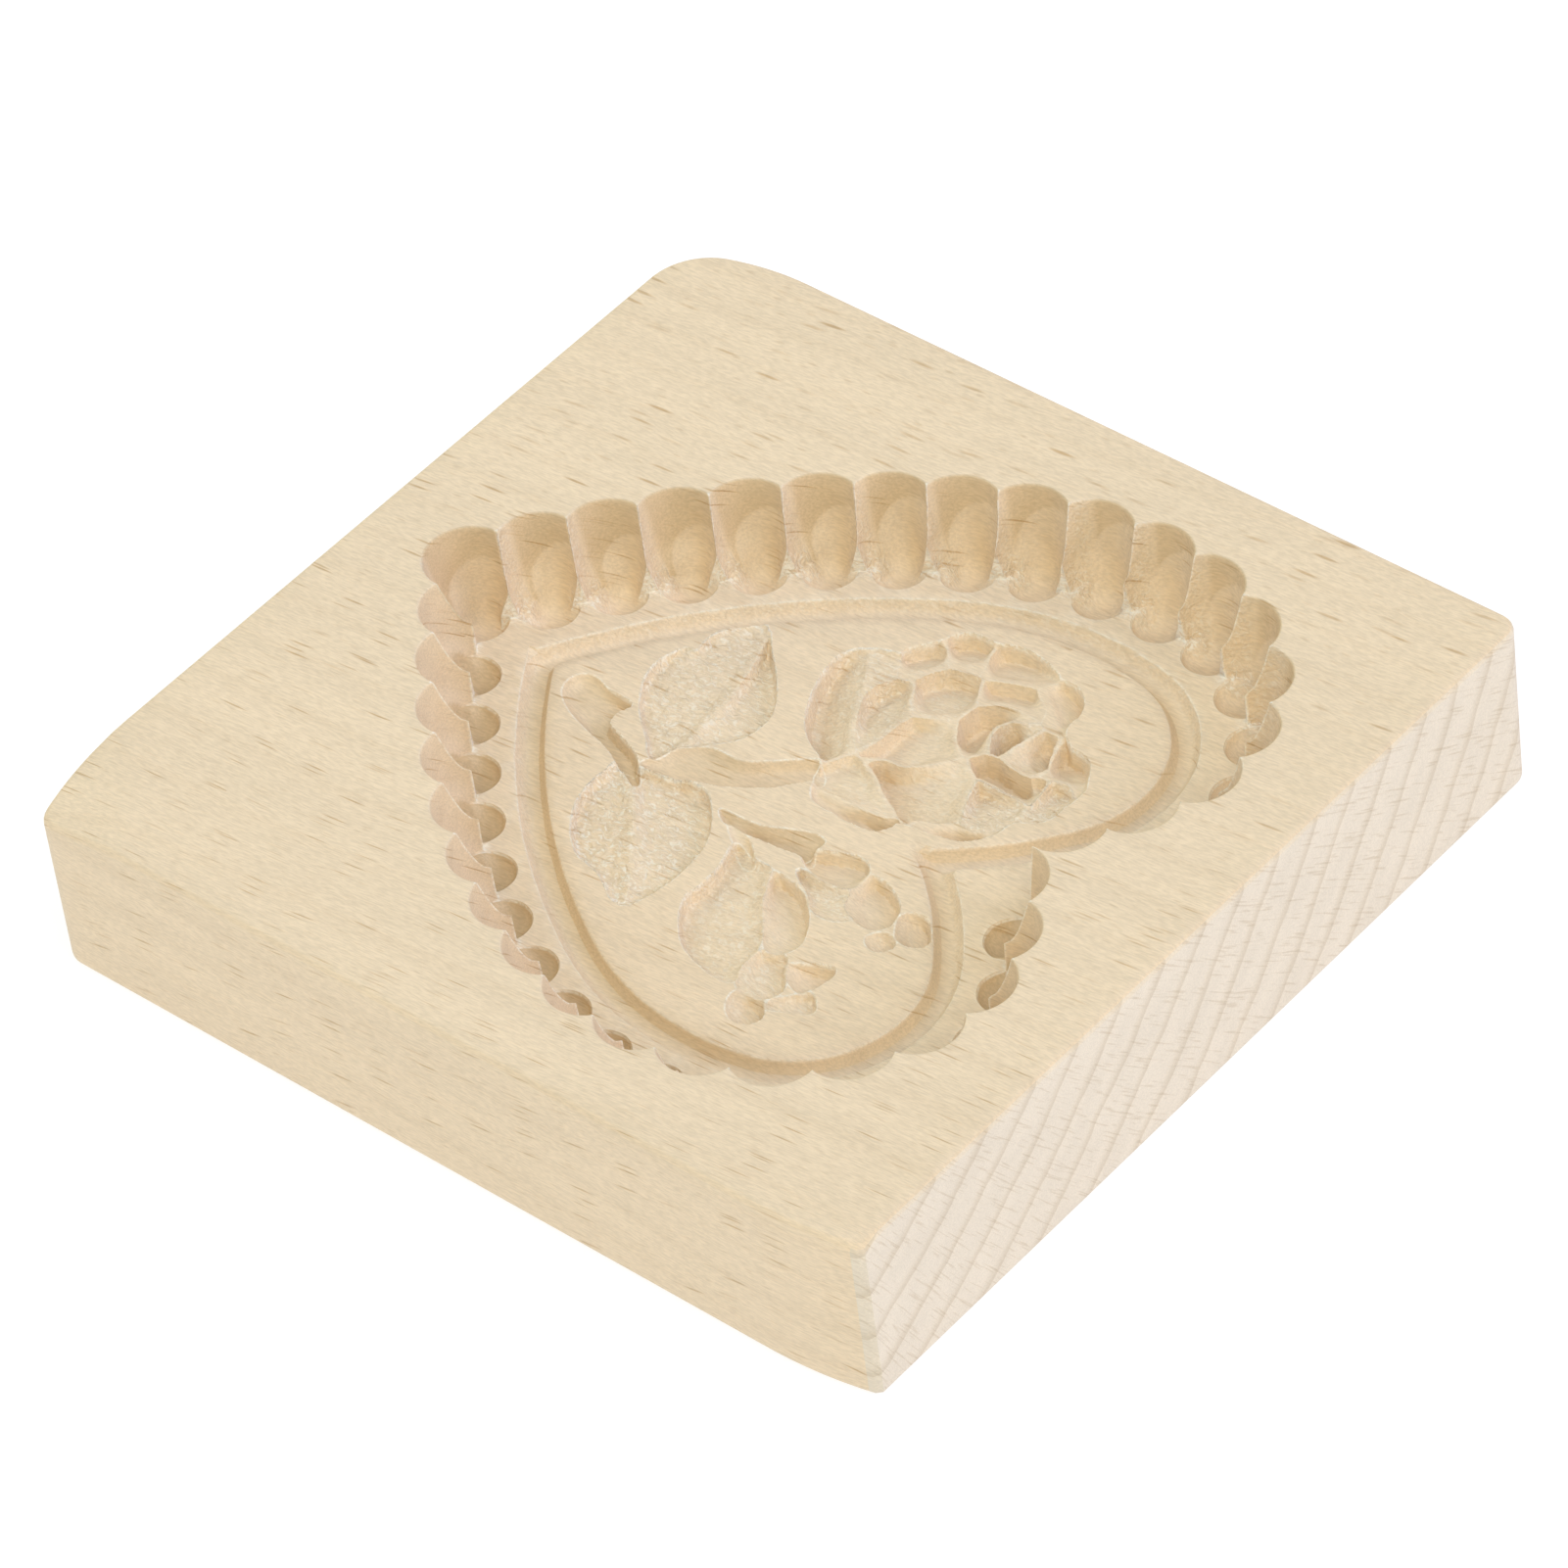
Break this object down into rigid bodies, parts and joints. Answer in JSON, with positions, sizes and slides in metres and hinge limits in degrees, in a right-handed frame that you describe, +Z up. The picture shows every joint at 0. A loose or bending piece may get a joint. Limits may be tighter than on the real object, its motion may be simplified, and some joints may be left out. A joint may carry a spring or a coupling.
{
  "type": "wooden cookie mould",
  "caption": "Square wooden cookie stamp board with a deep fluted heart hollow and a rose spray carved in its floor, for pressing dough.",
  "frame": {"origin": "bottom centre of the board", "axes": "+Z up out of the carved face, +X along the grain from the tip of the heart to its lobes, +Y across the grain"},
  "size_m": [0.103, 0.1, 0.02],
  "materials": {
    "beech": "unfinished planed beech, with raw end grain and torn fibres in the carving"
  },
  "bodies": {
    "root": {"mould": "beech"}
  },
  "joints": []
}
